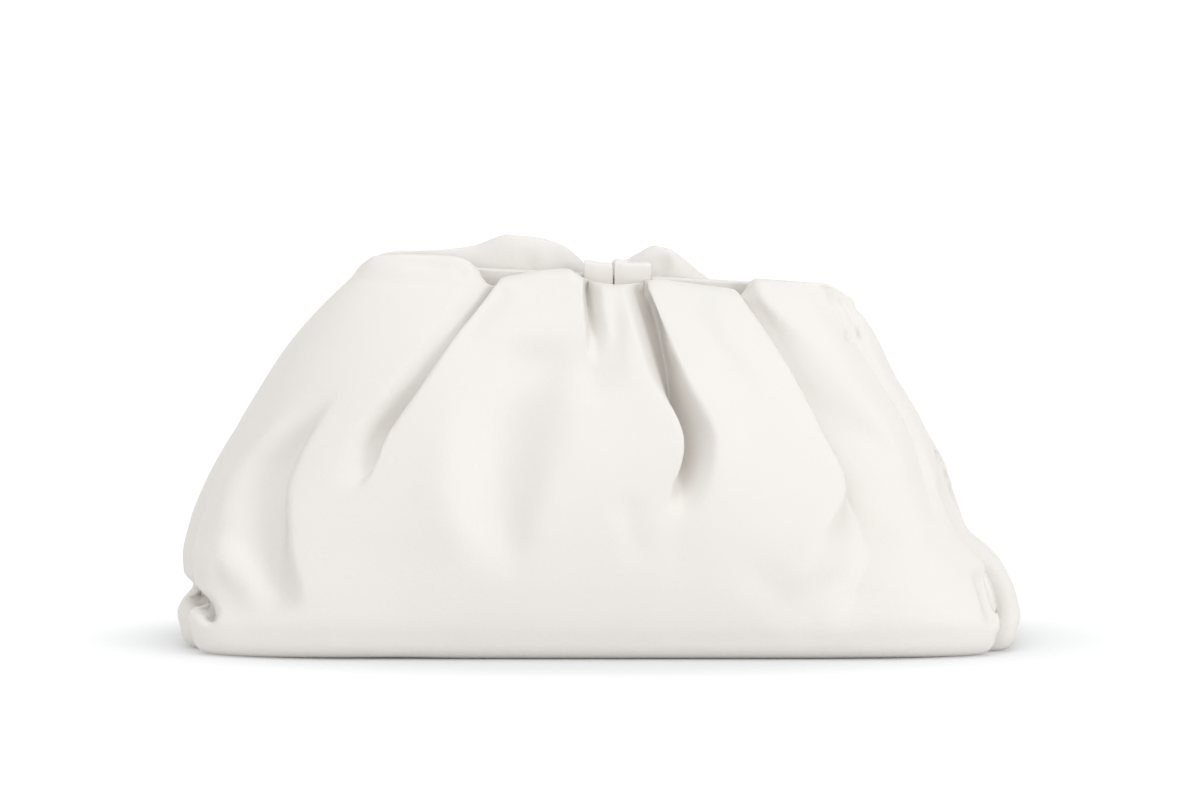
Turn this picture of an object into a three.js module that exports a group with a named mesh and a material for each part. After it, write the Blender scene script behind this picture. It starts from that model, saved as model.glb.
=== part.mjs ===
// A soft gathered clutch: one leather pouch drawn together on a straight two-bar frame.
// The pouch stands on its flat base, its two long bars closed and hidden in the gathers.
// Millimetres, +X to the right, +Y away from the viewer, +Z up, origin under the middle of the base.
import * as THREE from "three";

// Driving sizes of the pouch.
const BAG_WIDTH = 400; // across the two bottom corners
const BAG_DEPTH = 154; // front to back at the belly
const LEATHER = 2; // wall of the doubled nappa
const FOOT_ROUND = 9; // how the wall turns in to the flat base
const FOLD_DEPTH = 24; // a full-depth fold, which the tables share out
const CREST_PUFF = 20; // a full rise of the gathers above the bars

// Driving sizes of the frame.
const FRAME_HEIGHT = 174; // floor to the bars' top edge at mid length
const FRAME_LENGTH = 200;
const FRAME_TILT = THREE.MathUtils.degToRad(2.9); // right end lower
const BAR_THICKNESS = 5;
const BAR_HEIGHT = 16;
const BAR_ROUND = 1; // the covered bar's edges
const BAR_CORNER = 5; // its two top corners
const LEG_LENGTH = 42; // from the bars' top edge down to the hinge
const LEG_WIDTH = 9;
const MOUTH_GAP = 0.3; // between the two closed bars
const CLEARANCE = 0.3; // between pieces that touch
const HINGE_PLATE = 1.6;
const HINGE_HEIGHT = 10;

// How the leather sits on the bars.
const SHOULDER_DROP = 8; // the wall ends this far below the bars' top edge
const LIP_DROP = 12; // and the turned-in edge this far below
const TOP_DEPTH = 25; // outside of the gathers to the mouth line
const LIP_END_ROOM = 4; // the turned-in edge beyond the bars' ends
const LIP_BEND_START = 0.9; // share of the way across where the lip leaves the bars' faces
const LIP_LOOSE_FROM = 0.75; // share of its length where it starts to stand off the bars
const LIP_LOOSE_ALL = 0.9;
const PLEAT_LEAD = 7; // over which the lip makes room for the pleats
const CREST_LEAD = 0.45; // share of the way to the lip over which the wall's slope runs on
const CREST_ROUND = 0.3; // share of the way from lip to wall where the crest turns down

// The two flat pleats over the middle of the front bar.
const PLEAT_RISE = 5.4; // above the bar
const PLEAT_DROP = 11; // down the bar's outer face
const PLEATS_START = -9.2; // the left pleat's left edge, from mid bag
const PLEAT_GAP = 0.8; // the dark slit between the two
const LEFT_PLEAT_WIDTH = 13.6;
const RIGHT_PLEAT_WIDTH = 17.4;
const RIGHT_PLEAT_START = PLEATS_START + LEFT_PLEAT_WIDTH + PLEAT_GAP;
const PLEATS = [
  { name: "centre_pleat_left", from: PLEATS_START, width: LEFT_PLEAT_WIDTH },
  { name: "centre_pleat_right", from: RIGHT_PLEAT_START, width: RIGHT_PLEAT_WIDTH },
];

// The pouch without its folds, from the foot up: half widths and half depths as shares of the
// bag's own, and how square the section is. height is a share of the wall.
const OUTLINE = [
  { height: 0.0, left: 0.985, right: 0.985, front: 0.955, back: 0.955, square: 3.2 },
  { height: 0.05, left: 0.995, right: 0.995, front: 0.98, back: 0.98, square: 3.0 },
  { height: 0.1, left: 0.98, right: 0.985, front: 0.99, back: 0.99, square: 2.9 },
  { height: 0.2, left: 0.99, right: 0.93, front: 1.0, back: 1.0, square: 2.7 },
  { height: 0.3, left: 0.975, right: 0.87, front: 1.0, back: 0.99, square: 2.6 },
  { height: 0.4, left: 0.94, right: 0.84, front: 0.98, back: 0.97, square: 2.5 },
  { height: 0.5, left: 0.9, right: 0.815, front: 0.94, back: 0.92, square: 2.45 },
  { height: 0.65, left: 0.825, right: 0.76, front: 0.83, back: 0.81, square: 2.4 },
  { height: 0.8, left: 0.75, right: 0.7, front: 0.66, back: 0.65, square: 2.4 },
  { height: 0.92, left: 0.67, right: 0.65, front: 0.47, back: 0.47, square: 2.5 },
  { height: 1.0, left: 0.605, right: 0.615, front: null, back: null, square: 2.8 },
];

// The crest of the gathers above the bars' top edge, as shares of CREST_PUFF, left to right.
// across is a share of the top's half width.
const CREST = {
  front: [
    { across: -1.0, rise: -0.1 },
    { across: -0.92, rise: 0.12 },
    { across: -0.8, rise: 0.22 },
    { across: -0.6, rise: 0.2 },
    { across: -0.49, rise: -0.4 },
    { across: -0.42, rise: -0.3 },
    { across: -0.28, rise: -0.08 },
    { across: -0.14, rise: 0.08 },
    { across: -0.05, rise: -0.15 },
    { across: 0.15, rise: -0.15 },
    { across: 0.24, rise: 0.0 },
    { across: 0.52, rise: -0.1 },
    { across: 0.56, rise: -0.4 },
    { across: 0.62, rise: 0.05 },
    { across: 0.93, rise: 0.05 },
    { across: 1.0, rise: -0.15 },
  ],
  back: [
    { across: -1.0, rise: -0.1 },
    { across: -0.85, rise: 0.28 },
    { across: -0.53, rise: 0.5 },
    { across: -0.38, rise: 0.78 },
    { across: -0.26, rise: 0.74 },
    { across: -0.09, rise: 0.3 },
    { across: -0.05, rise: 0.15 },
    { across: 0.12, rise: 0.15 },
    { across: 0.22, rise: 0.62 },
    { across: 0.29, rise: 0.58 },
    { across: 0.42, rise: 0.15 },
    { across: 0.6, rise: -0.3 },
    { across: 1.0, rise: -0.3 },
  ],
};

// Where on the wall the folds' columns are given, from the foot to the top: STATIONS for at and
// deep, and REACH_STATIONS for left, right and lap.
const STATIONS = [0, 0.2, 0.45, 0.7, 1];
const REACH_STATIONS = [0, 0.5, 1];

// The folds, once round the pouch from the left side. at is where the valley lies, as a share of
// the half width there, and deep its depth as a share of FOLD_DEPTH. left and right are how far it
// pulls in the leather on either side, as shares of the bag's half width, as seen from outside,
// and crisp is how pointed it is. lap is how far the lobe beside it hangs over it, as a share of
// FOLD_DEPTH, + for the left lobe and - for the right one.
const LEFT_TUCK = {
  at: [-0.985, -0.985, -0.99, -1, -1], deep: [0.4, 0.3, 0.16, 0.12, 0.2],
  left: [0.06, 0.06, 0.06], right: [0.06, 0.06, 0.06], lap: [0, 0, 0], crisp: 0.5,
};
const FRONT_FOLDS = [
  { at: [-0.76, -0.77, -0.82, -0.77, -0.72], deep: [0, 0.45, 0.5, 0.08, 0],
    left: [0.1, 0.14, 0.1], right: [0.05, 0.055, 0.03], lap: [-0.05, -0.05, 0], crisp: 0.2 },
  { at: [-0.67, -0.67, -0.615, -0.53, -0.44], deep: [0, 0, 0.45, 0.95, 0.6],
    left: [0.05, 0.08, 0.12], right: [0.04, 0.04, 0.05], lap: [0, -0.25, -0.3], crisp: 0.5 },
  { at: [-0.2, -0.215, -0.255, -0.255, -0.14], deep: [0, 0.15, 0.4, 0.42, 0],
    left: [0.1, 0.135, 0.14], right: [0.05, 0.15, 0.14], lap: [0, 0, 0], crisp: 0.1 },
  { at: [-0.03, -0.03, -0.03, -0.03, -0.055], deep: [0, 0, 0, 0.05, 0.55],
    left: [0.03, 0.03, 0.03], right: [0.03, 0.03, 0.035], lap: [0, 0, 0.1], crisp: 0.2 },
  { at: [0.17, 0.185, 0.228, 0.24, 0.18], deep: [0, 0, 0.5, 1.2, 0.6],
    left: [0.05, 0.065, 0.035], right: [0.04, 0.05, 0.05], lap: [0, 0.1, -0.1], crisp: 0.4 },
  { at: [0.56, 0.645, 0.695, 0.645, 0.548], deep: [0.1, 0.4, 0.6, 0.85, 0.6],
    left: [0.1, 0.1, 0.035], right: [0.08, 0.16, 0.08], lap: [0, 0.25, 0.25], crisp: 0.4 },
  { at: [0.88, 0.93, 0.945, 0.93, 0.88], deep: [0, 0.06, 0.1, 0.11, 0.15],
    left: [0.08, 0.08, 0.06], right: [0.05, 0.05, 0.05], lap: [0, 0, 0], crisp: 0.5 },
];
const RIGHT_TUCK = {
  at: [0.965, 0.98, 0.99, 1, 1], deep: [0.5, 0.5, 0.22, 0.16, 0.25],
  left: [0.05, 0.05, 0.05], right: [0.07, 0.07, 0.07], lap: [0, 0.04, 0], crisp: 0.6,
};
const BACK_FOLDS = [
  { at: [0.8, 0.815, 0.825, 0.81, 0.8], deep: [0.05, 0.12, 0.2, 0.28, 0.3],
    left: [0.1, 0.1, 0.08], right: [0.15, 0.15, 0.1], lap: [0, 0, 0.05], crisp: 0.3 },
  { at: [0.6, 0.615, 0.635, 0.59, 0.52], deep: [0, 0.15, 0.5, 0.78, 0.55],
    left: [0.12, 0.16, 0.12], right: [0.06, 0.05, 0.045], lap: [0, -0.2, -0.2], crisp: 0.4 },
  { at: [0.3, 0.32, 0.355, 0.35, 0.3], deep: [0, 0, 0.1, 0.3, 0.25],
    left: [0.11, 0.11, 0.07], right: [0.13, 0.12, 0.07], lap: [0, 0, 0.08], crisp: 0.3 },
  { at: [0.05, 0.07, 0.115, 0.11, 0.06], deep: [0, 0.05, 0.55, 0.85, 0.5],
    left: [0.07, 0.07, 0.04], right: [0.09, 0.08, 0.06], lap: [0, 0.12, 0.1], crisp: 0.4 },
  { at: [-0.15, -0.155, -0.16, -0.135, -0.14], deep: [0, 0, 0.08, 0.3, 0.35],
    left: [0.06, 0.06, 0.04], right: [0.08, 0.08, 0.05], lap: [0, 0, -0.1], crisp: 0.4 },
  { at: [-0.42, -0.435, -0.46, -0.435, -0.36], deep: [0, 0.15, 0.42, 0.48, 0.25],
    left: [0.13, 0.12, 0.07], right: [0.15, 0.14, 0.08], lap: [0, 0.05, 0.1], crisp: 0.25 },
  { at: [-0.72, -0.735, -0.74, -0.69, -0.62], deep: [0.05, 0.2, 0.45, 0.65, 0.4],
    left: [0.055, 0.055, 0.045], right: [0.18, 0.18, 0.12], lap: [0, 0.15, 0.2], crisp: 0.35 },
];
const LAP_SLIP = 1.2; // how much further a valley slips under than the lobe hangs over
const LAP_SPREAD = 0.75; // share of a fold's reach over which the hanging lobe's rim is drawn

// Soft dents between the folds and the pockets at the corners. across is a share of the half width
// and height of the wall where the dent lies; wide and tall are its half sizes in the same shares,
// and deep is a share of FOLD_DEPTH.
const DENTS = {
  front: [
    { across: -0.94, height: 0.1, wide: 0.03, tall: 0.05, deep: 0.35 },
    { across: -0.87, height: 0.22, wide: 0.05, tall: 0.05, deep: -0.12 },
    { across: 0.92, height: 0.1, wide: 0.03, tall: 0.07, deep: 0.3 },
    { across: 0.82, height: 0.5, wide: 0.12, tall: 0.07, deep: 0.16 },
    { across: -0.01, height: 0.78, wide: 0.04, tall: 0.06, deep: 0.12 },
  ],
  back: [
    { across: -0.35, height: 0.22, wide: 0.2, tall: 0.16, deep: 0.22 },
    { across: 0.55, height: 0.2, wide: 0.16, tall: 0.15, deep: 0.25 },
    { across: 0.1, height: 0.3, wide: 0.15, tall: 0.18, deep: 0.15 },
  ],
};
const DENT_SPREAD = 1.6; // a dent fades out this many half sizes from its middle

// How finely the pouch's skin is divided.
const COLUMNS_PER_LOBE = 7;
const BASE_RINGS = [0.5];
const FOOT_TURNS = [0, 0.4, 0.75];
const WALL_ROWS = [0, 0.06, 0.14, 0.23, 0.33, 0.44, 0.55, 0.65, 0.75, 0.84, 0.92, 1];
const CREST_ROWS = 7;

// A smooth line through a table's rows that never swings past them.
function smoothLine(places, values) {
  const rises = places.slice(1).map((p, i) => (values[i + 1] - values[i]) / (p - places[i]));
  const slopes = values.map((_, i) => {
    if (i === 0) return rises[0];
    if (i === values.length - 1) return rises[i - 1];
    const [a, b] = [rises[i - 1], rises[i]];
    return a * b <= 0 ? 0 : (2 * a * b) / (a + b);
  });
  return (place) => {
    const at = THREE.MathUtils.clamp(place, places[0], places[places.length - 1]);
    let i = 0;
    while (i < places.length - 2 && at > places[i + 1]) i++;
    const span = places[i + 1] - places[i];
    const t = (at - places[i]) / span;
    const rest = 1 - t;
    return (
      values[i] * (1 + 2 * t) * rest * rest +
      values[i + 1] * t * t * (3 - 2 * t) +
      span * t * rest * (slopes[i] * rest - slopes[i + 1] * t)
    );
  };
}

const column = (table, place, name) =>
  smoothLine(table.map((row) => row[place]), table.map((row) => row[name]));

// The pouch's section without folds: a rounded outline, wider than deep.
const outline = {};
for (const name of ["left", "right", "square"]) outline[name] = column(OUTLINE, "height", name);
for (const name of ["front", "back"]) {
  const rows = OUTLINE.map((row) => ({ ...row, [name]: row[name] ?? (2 * TOP_DEPTH) / BAG_DEPTH }));
  outline[name] = column(rows, "height", name);
}
const crest = {
  front: column(CREST.front, "across", "rise"),
  back: column(CREST.back, "across", "rise"),
};

function sectionPoint(angle, height, inset) {
  const across = Math.sin(angle);
  const side = across < 0 ? "left" : "right";
  const face = Math.cos(angle) > 0 ? "front" : "back";
  const halfWidth = outline[side](height) * (BAG_WIDTH / 2) - inset;
  const halfDepth = outline[face](height) * (BAG_DEPTH / 2) - inset;
  const square = outline.square(height);
  const depth = halfDepth * (1 - Math.abs(across) ** square) ** (1 / square);
  return new THREE.Vector2(across * halfWidth, face === "front" ? -depth : depth);
}

// The folds in order round the pouch, each with its lines from the foot to the top.
const toAngle = (share, onBack) => (onBack ? Math.PI - Math.asin(share) : Math.asin(share));
const inHalfWidths = (shares) => smoothLine(REACH_STATIONS, shares.map((v) => (v * BAG_WIDTH) / 2));
const inFoldDepths = (places, shares) => smoothLine(places, shares.map((v) => v * FOLD_DEPTH));
const folds = [
  { ...LEFT_TUCK, onBack: false },
  ...FRONT_FOLDS.map((row) => ({ ...row, onBack: false })),
  { ...RIGHT_TUCK, onBack: false },
  ...BACK_FOLDS.map((row) => ({ ...row, onBack: true })),
].map((row) => ({
  crisp: row.crisp,
  angle: smoothLine(STATIONS, row.at.map((share) => toAngle(share, row.onBack))),
  depth: inFoldDepths(STATIONS, row.deep),
  left: inHalfWidths(row.left),
  right: inHalfWidths(row.right),
  lap: inFoldDepths(REACH_STATIONS, row.lap),
}));

// The columns of the skin follow the valleys: each runs up one lobe, at a share of its way across,
// and they stand closer beside the valleys.
const COLUMNS = folds.flatMap((_, lobe) =>
  Array.from({ length: COLUMNS_PER_LOBE }, (_, i) => {
    const share = (1 - Math.cos((i / COLUMNS_PER_LOBE) * Math.PI)) / 2;
    return { lobe, share };
  }),
);

// 1 in the valley, 0 where its pull ends: a soft wave, or with crisp a pointed groove.
function pull(reach, crisp) {
  if (reach >= 1) return 0;
  const soft = (1 + Math.cos(Math.PI * reach)) / 2;
  const sharp = (1 - reach) ** 2;
  return soft * (1 - crisp) + sharp * crisp;
}

// How far the dents press the wall in at an angle and a height.
function dentDepth(angle, height) {
  let inward = 0;
  for (const dent of Math.cos(angle) > 0 ? DENTS.front : DENTS.back) {
    const reach = Math.hypot(
      (Math.sin(angle) - dent.across) / dent.wide, (height - dent.height) / dent.tall);
    inward += dent.deep * FOLD_DEPTH * pull(reach / DENT_SPREAD, 0);
  }
  return inward;
}

// One level ring of the outer skin, a point and its angle for each column.
function wallRing(height, inset = 0) {
  const valleys = folds.map((fold) => fold.angle(height));
  valleys.push(valleys[0] + 2 * Math.PI);
  const angles = COLUMNS.map(({ lobe, share }) =>
    THREE.MathUtils.lerp(valleys[lobe], valleys[lobe + 1], share));
  const places = angles.map((angle) => sectionPoint(angle, height, inset));
  const runs = [0]; // along the ring from the first column
  for (let i = 1; i < places.length; i++) {
    runs.push(runs[i - 1] + places[i].distanceTo(places[i - 1]));
  }
  const girth = runs.at(-1) + places.at(-1).distanceTo(places[0]);

  return places.map((place, i) => {
    const ahead = places[(i + 1) % places.length];
    const along = ahead.clone().sub(places.at(i - 1)).normalize();
    const outward = new THREE.Vector2(along.y, -along.x);
    let [inward, sideways] = [dentDepth(angles[i], height), 0];
    folds.forEach((fold, lobe) => {
      const run = runs[i] - runs[lobe * COLUMNS_PER_LOBE];
      const away = THREE.MathUtils.euclideanModulo(run + girth / 2, girth) - girth / 2;
      const [left, right, lap] = [fold.left(height), fold.right(height), fold.lap(height)];
      inward += fold.depth(height) * pull(away < 0 ? -away / left : away / right, fold.crisp);
      const hanging = lap > 0 ? left : right;
      const fromRim = lap > 0 ? away + left : away - right;
      sideways -= lap * LAP_SLIP * pull(Math.abs(away) / hanging, 0);
      sideways += lap * Math.exp(-((fromRim / (hanging * LAP_SPREAD)) ** 2));
    });
    const point = place.clone().addScaledVector(outward, -inward).addScaledVector(along, sideways);
    return { point, angle: angles[i] };
  });
}

const barTop = (x) => FRAME_HEIGHT - Math.tan(FRAME_TILT) * x;

// Extra room for the centre pleats' thickness, eased in over a lead at both ends.
function pleatRoom(x) {
  const from = PLEATS[0].from - PLEAT_LEAD;
  const to = PLEATS[1].from + PLEATS[1].width + PLEAT_LEAD;
  const inside = Math.min(x - from, to - x) / PLEAT_LEAD;
  return (LEATHER + CLEARANCE) * THREE.MathUtils.smoothstep(inside, 0, 1);
}

// The turned-in edge runs along both bars with a small gap, looser round their ends.
function lipPoint(angle) {
  const across = Math.sin(angle);
  const beside = MOUTH_GAP / 2 + BAR_THICKNESS + CLEARANCE;
  const endX = FRAME_LENGTH / 2 + LIP_END_ROOM;
  const along = Math.min(Math.abs(across) / LIP_BEND_START, 1);
  const round = Math.max((Math.abs(across) - LIP_BEND_START) / (1 - LIP_BEND_START), 0);
  const x = Math.sign(across) * (along * endX + round * LIP_END_ROOM);
  const loosening = THREE.MathUtils.smoothstep(Math.abs(x) / endX, LIP_LOOSE_FROM, LIP_LOOSE_ALL);
  const loose = LIP_END_ROOM * loosening;
  const aside = Math.cos(angle) > 0 ? pleatRoom(x) : 0;
  const y = (beside + loose + aside) * Math.sqrt(1 - round ** 2);
  return new THREE.Vector3(x, Math.cos(angle) > 0 ? -y : y, barTop(x) - LIP_DROP);
}

const raised = ({ point }, z) => new THREE.Vector3(point.x, point.y, z);
const shoulderOver = ({ point }) => barTop(point.x) - SHOULDER_DROP;
const wallHeight = (place, height) =>
  THREE.MathUtils.lerp(FOOT_ROUND, shoulderOver(place), height);

// The outer skin's rings: the base, the foot, the wall, and the crest down to the lip. The crest
// leaves the wall along the wall's own slope, rises to its table's line and turns down to the lip.
function skinRings() {
  const rings = [];
  for (const scale of BASE_RINGS) {
    const edge = wallRing(0, FOOT_ROUND);
    rings.push(edge.map(({ point }) => new THREE.Vector3(point.x * scale, point.y * scale, 0)));
  }
  for (const turn of FOOT_TURNS) {
    const bend = (turn * Math.PI) / 2;
    const ring = wallRing(0, FOOT_ROUND * (1 - Math.sin(bend)));
    rings.push(ring.map((place) => raised(place, FOOT_ROUND * (1 - Math.cos(bend)))));
  }
  for (const height of WALL_ROWS) {
    rings.push(wallRing(height).map((place) => raised(place, wallHeight(place, height))));
  }
  const nearTop = WALL_ROWS.at(-2);
  const [top, below] = [wallRing(1), wallRing(nearTop)];
  const crests = top.map((place, i) => {
    const shoulder = raised(place, shoulderOver(place));
    const slope = shoulder.clone().sub(raised(below[i], wallHeight(place, nearTop))).normalize();
    const lip = lipPoint(place.angle);
    const leaving = shoulder.clone().addScaledVector(slope, CREST_LEAD * shoulder.distanceTo(lip));
    const line = Math.cos(place.angle) > 0 ? crest.front : crest.back;
    const highest = barTop(place.point.x) + line(Math.sin(place.angle)) * CREST_PUFF;
    const arriving = lip.clone().lerp(shoulder, CREST_ROUND);
    // the curve's middle, an eighth of each end and three eighths of each guide, is its highest
    arriving.z = ((highest - (shoulder.z + lip.z) / 8) * 8) / 3 - leaving.z;
    return new THREE.CubicBezierCurve3(shoulder, leaving, arriving, lip);
  });
  for (let row = 1; row <= CREST_ROWS; row++) {
    rings.push(crests.map((curve) => curve.getPoint(row / CREST_ROWS)));
  }
  return rings;
}

// Faces between rings that all have as many points, outward for rings that run to the left-handed side.
function ringFaces(ringCount, perRing) {
  const faces = [];
  for (let ring = 0; ring < ringCount - 1; ring++) {
    for (let i = 0; i < perRing; i++) {
      const next = (i + 1) % perRing;
      const [a, b] = [ring * perRing + i, ring * perRing + next];
      const [c, d] = [b + perRing, a + perRing];
      faces.push(a, b, c, a, c, d);
    }
  }
  return faces;
}

function pouchGeometry() {
  const skinPoints = skinRings();
  const [ringCount, perRing] = [skinPoints.length, COLUMNS.length];
  const outer = skinPoints.flat();
  const underside = outer.length;
  const middle = new THREE.Vector3(0, 0, 0);
  const fan = Array.from({ length: perRing }, (_, i) => [underside, (i + 1) % perRing, i]).flat();
  const skin = new THREE.BufferGeometry().setFromPoints([...outer, middle]);
  skin.setIndex([...ringFaces(ringCount, perRing), ...fan]);
  skin.computeVertexNormals();

  const normal = skin.getAttribute("normal");
  const inner = outer.map((point, i) => {
    const outward = new THREE.Vector3().fromBufferAttribute(normal, i);
    const inside = point.clone().addScaledVector(outward, -LEATHER);
    inside.z = Math.max(inside.z, LEATHER); // nothing inside lies lower than the base is thick
    return inside;
  });
  const rings = [...outer];
  for (let ring = ringCount - 1; ring >= 0; ring--) {
    rings.push(...inner.slice(ring * perRing, (ring + 1) * perRing));
  }
  const [low, high] = [rings.length, rings.length + 1];
  const lastRing = (2 * ringCount - 1) * perRing;
  const faces = ringFaces(2 * ringCount, perRing);
  for (let i = 0; i < perRing; i++) {
    const next = (i + 1) % perRing;
    faces.push(low, next, i, lastRing + i, lastRing + next, high);
  }
  const geometry = new THREE.BufferGeometry();
  geometry.setFromPoints([...rings, middle, new THREE.Vector3(0, 0, LEATHER)]);
  geometry.setIndex(faces);
  return geometry;
}

// A covered bar with a leg down to the hinge at each end, its top edge at z = 0.
function barGeometry() {
  const half = FRAME_LENGTH / 2 - BAR_ROUND;
  const inside = FRAME_LENGTH / 2 - LEG_WIDTH + BAR_ROUND;
  const shape = new THREE.Shape();
  shape.moveTo(-half, -LEG_LENGTH + BAR_ROUND);
  shape.lineTo(-inside, -LEG_LENGTH + BAR_ROUND);
  shape.lineTo(-inside, -BAR_HEIGHT + BAR_ROUND);
  shape.lineTo(inside, -BAR_HEIGHT + BAR_ROUND);
  shape.lineTo(inside, -LEG_LENGTH + BAR_ROUND);
  shape.lineTo(half, -LEG_LENGTH + BAR_ROUND);
  shape.lineTo(half, -BAR_ROUND - BAR_CORNER);
  shape.absarc(half - BAR_CORNER, -BAR_ROUND - BAR_CORNER, BAR_CORNER, 0, Math.PI / 2, false);
  shape.lineTo(-half + BAR_CORNER, -BAR_ROUND);
  shape.absarc(-half + BAR_CORNER, -BAR_ROUND - BAR_CORNER, BAR_CORNER, Math.PI / 2, Math.PI, false);
  shape.closePath();
  const geometry = new THREE.ExtrudeGeometry(shape, {
    depth: BAR_THICKNESS - 2 * BAR_ROUND,
    bevelThickness: BAR_ROUND,
    bevelSize: BAR_ROUND,
    bevelSegments: 2,
    curveSegments: 6,
  });
  geometry.translate(0, 0, BAR_ROUND);
  geometry.rotateX(Math.PI / 2); // the shape's height becomes +Z and its depth -Y
  return geometry;
}

// A strip of leather looped over the front bar: up its outer face, over, and down to its top edge.
function pleatGeometry(width) {
  const outerFace = MOUTH_GAP / 2 + BAR_THICKNESS + CLEARANCE;
  const loop = (outerFace + LEATHER - MOUTH_GAP) / 2; // radius of the loop's outside
  const centre = MOUTH_GAP + loop;
  const spring = PLEAT_RISE - loop; // height where the loop starts to turn
  const shape = new THREE.Shape();
  shape.moveTo(outerFace + LEATHER, -PLEAT_DROP);
  shape.lineTo(outerFace + LEATHER, spring);
  shape.absarc(centre, spring, loop, 0, Math.PI, false);
  shape.lineTo(MOUTH_GAP, CLEARANCE);
  shape.lineTo(MOUTH_GAP + LEATHER, CLEARANCE);
  shape.lineTo(MOUTH_GAP + LEATHER, spring);
  shape.absarc(centre, spring, loop - LEATHER, Math.PI, 0, true);
  shape.lineTo(outerFace, -PLEAT_DROP);
  shape.closePath();
  const geometry = new THREE.ExtrudeGeometry(shape, {
    depth: width,
    bevelEnabled: false,
    curveSegments: 10,
  });
  geometry.rotateX(Math.PI / 2); // the shape's height becomes +Z
  geometry.rotateZ(-Math.PI / 2); // and its width runs along X, its outer face to -Y
  geometry.translate(width, 0, 0);
  return geometry;
}

const leather = new THREE.MeshStandardMaterial({ color: 0xefece6, roughness: 0.55, metalness: 0 });
const frameLeather = new THREE.MeshStandardMaterial({ color: 0xf1efe9, roughness: 0.5, metalness: 0 });
const steel = new THREE.MeshStandardMaterial({ color: 0xb9bbbd, roughness: 0.35, metalness: 1 });

function named(name, geometry, material) {
  const mesh = new THREE.Mesh(geometry, material);
  mesh.name = name;
  return mesh;
}

const bag = new THREE.Group();
bag.add(named("pouch_shell", pouchGeometry(), leather));

const frame = new THREE.Group();
frame.position.z = FRAME_HEIGHT;
frame.rotation.y = FRAME_TILT;
bag.add(frame);

const frontBar = named("front_frame_bar", barGeometry(), frameLeather);
frontBar.position.y = -MOUTH_GAP / 2;
const backBar = named("back_frame_bar", barGeometry(), frameLeather);
backBar.position.y = MOUTH_GAP / 2 + BAR_THICKNESS;
frame.add(frontBar, backBar);

for (const { name, from, width } of PLEATS) {
  const pleat = named(name, pleatGeometry(width), leather);
  pleat.position.x = from;
  frame.add(pleat);
}

for (const [name, side] of [["left_hinge", -1], ["right_hinge", 1]]) {
  const across = MOUTH_GAP + 2 * BAR_THICKNESS;
  const plate = named(name, new THREE.BoxGeometry(HINGE_PLATE, across, HINGE_HEIGHT), steel);
  plate.position.x = side * (FRAME_LENGTH / 2 + CLEARANCE + HINGE_PLATE / 2);
  plate.position.z = -LEG_LENGTH + HINGE_HEIGHT / 2;
  frame.add(plate);
}

// The origin moves under the middle of the bag's box.
const box = new THREE.Box3().setFromObject(bag);
const middle = box.getCenter(new THREE.Vector3());
bag.position.set(-middle.x, -middle.y, -box.min.z);

export default bag;
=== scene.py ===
import math

import bmesh
import bpy
import numpy as np
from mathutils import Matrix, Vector


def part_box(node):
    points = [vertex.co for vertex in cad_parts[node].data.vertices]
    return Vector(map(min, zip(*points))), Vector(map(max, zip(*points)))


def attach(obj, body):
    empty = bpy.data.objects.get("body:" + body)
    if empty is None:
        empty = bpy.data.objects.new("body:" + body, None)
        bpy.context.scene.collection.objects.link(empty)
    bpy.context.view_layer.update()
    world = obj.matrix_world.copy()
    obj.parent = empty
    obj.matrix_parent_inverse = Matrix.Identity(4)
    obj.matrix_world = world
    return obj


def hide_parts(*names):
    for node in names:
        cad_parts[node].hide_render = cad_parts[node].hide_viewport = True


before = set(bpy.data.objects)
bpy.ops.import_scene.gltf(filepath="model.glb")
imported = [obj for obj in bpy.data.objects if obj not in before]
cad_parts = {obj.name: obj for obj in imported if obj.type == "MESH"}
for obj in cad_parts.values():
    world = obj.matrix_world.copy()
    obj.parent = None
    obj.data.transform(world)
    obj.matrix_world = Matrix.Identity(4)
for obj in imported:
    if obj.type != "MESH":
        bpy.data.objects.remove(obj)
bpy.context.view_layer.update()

# The view: a long lens, a little above the bag and square to its front, with the bag across
# seven tenths of the frame, in a white studio lit mostly from above and from the right.
view_distance = 1.6
view_rise = math.radians(4.5)
view_aim = Vector((-0.0015, -0.06, 0.1188))
camera_data = bpy.data.cameras.new("camera")
camera_data.sensor_width = 36
camera_data.lens = 104.6
camera = bpy.data.objects.new("camera", camera_data)
back_to_camera = Vector((0, -math.cos(view_rise), math.sin(view_rise)))
camera.location = view_aim + back_to_camera * view_distance
camera.rotation_euler = (-back_to_camera).to_track_quat("-Z", "Y").to_euler()
bpy.context.collection.objects.link(camera)
bpy.context.scene.camera = camera
bpy.context.scene.view_settings.view_transform = "Standard"

world = bpy.data.worlds.new("studio")
world.use_nodes = True
room_light = world.node_tree.nodes["Background"]
room_light.inputs["Color"].default_value = (0.97, 0.985, 1.0, 1)
room_light.inputs["Strength"].default_value = 0.58
bpy.context.scene.world = world

lamp_tint = (0.965, 0.985, 1)


def softbox(name, place, aim, size, watts):
    """A large soft studio light at a place, turned to what it lights."""
    light_data = bpy.data.lights.new(name, "AREA")
    light_data.shape = "RECTANGLE"
    light_data.size, light_data.size_y = size
    light_data.energy = watts
    light_data.color = lamp_tint
    light = bpy.data.objects.new(name, light_data)
    light.location = place
    light.rotation_euler = (Vector(aim) - Vector(place)).to_track_quat("-Z", "Y").to_euler()
    bpy.context.collection.objects.link(light)


softbox("overhead", (0.1, -0.5, 2.0), (0, -0.05, 0), (2.4, 2.0), 20)
softbox("key_right", (1.5, -1.3, 0.5), (0, 0, 0.06), (0.7, 0.7), 11)
softbox("front_fill", (-1.1, -1.7, 0.8), (0, 0, 0.08), (1.6, 1.2), 6.5)

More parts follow.
